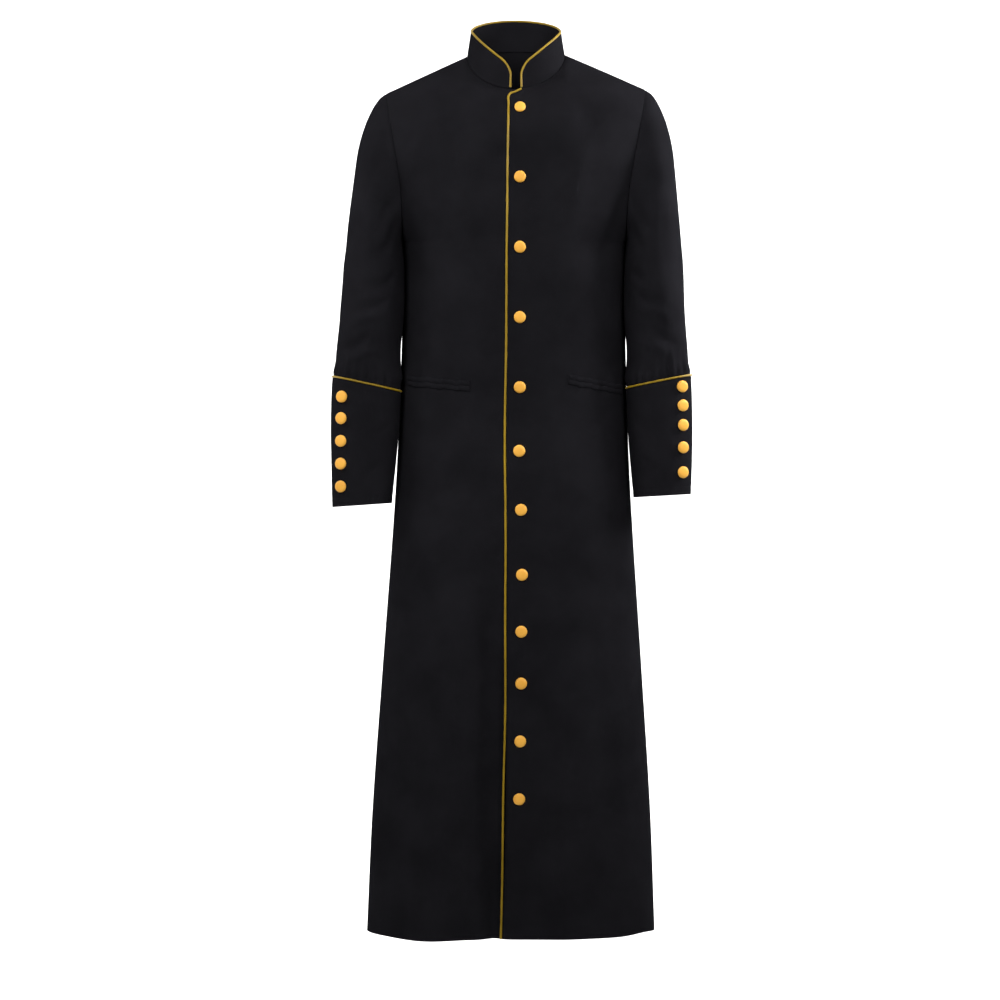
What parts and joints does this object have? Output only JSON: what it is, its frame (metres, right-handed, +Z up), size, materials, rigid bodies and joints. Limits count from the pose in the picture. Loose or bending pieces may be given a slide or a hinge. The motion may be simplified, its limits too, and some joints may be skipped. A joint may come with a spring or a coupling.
{
  "type": "cassock",
  "caption": "Long black clerical robe with a band collar, contrast piping, a buttoned front and deep buttoned cuffs, filled out as worn but empty.",
  "frame": {"origin": "middle of the shoulders at the height of the neck's side points, where the wearer carries it", "axes": "+Z up to the collar, -Y out of the front, +X to the wearer's left"},
  "size_m": [0.5742, 0.2531, 1.4575],
  "materials": {
    "cassock_cloth": "matte black suiting with a soft sheen",
    "piping": "mustard satin cord",
    "button_cloth": "golden satin covered button"
  },
  "bodies": {
    "root": {"front_right": "cassock_cloth", "front_left": "cassock_cloth", "back": "cassock_cloth", "sleeve_right": "cassock_cloth", "sleeve_left": "cassock_cloth", "cuff_right": "cassock_cloth", "cuff_left": "cassock_cloth", "collar": "cassock_cloth", "collar_piping": "piping", "front_piping": "piping", "cuff_piping_right": "piping", "cuff_piping_left": "piping", "pocket_welt_right": "cassock_cloth", "pocket_welt_left": "cassock_cloth", "front_button_01": "button_cloth", "front_button_02": "button_cloth", "front_button_03": "button_cloth", "front_button_04": "button_cloth", "front_button_05": "button_cloth", "front_button_06": "button_cloth", "front_button_07": "button_cloth", "front_button_08": "button_cloth", "front_button_09": "button_cloth", "front_button_10": "button_cloth", "front_button_11": "button_cloth", "front_button_12": "button_cloth", "cuff_button_right_1": "button_cloth", "cuff_button_right_2": "button_cloth", "cuff_button_right_3": "button_cloth", "cuff_button_right_4": "button_cloth", "cuff_button_right_5": "button_cloth", "cuff_button_left_1": "button_cloth", "cuff_button_left_2": "button_cloth", "cuff_button_left_3": "button_cloth", "cuff_button_left_4": "button_cloth", "cuff_button_left_5": "button_cloth"}
  },
  "joints": []
}
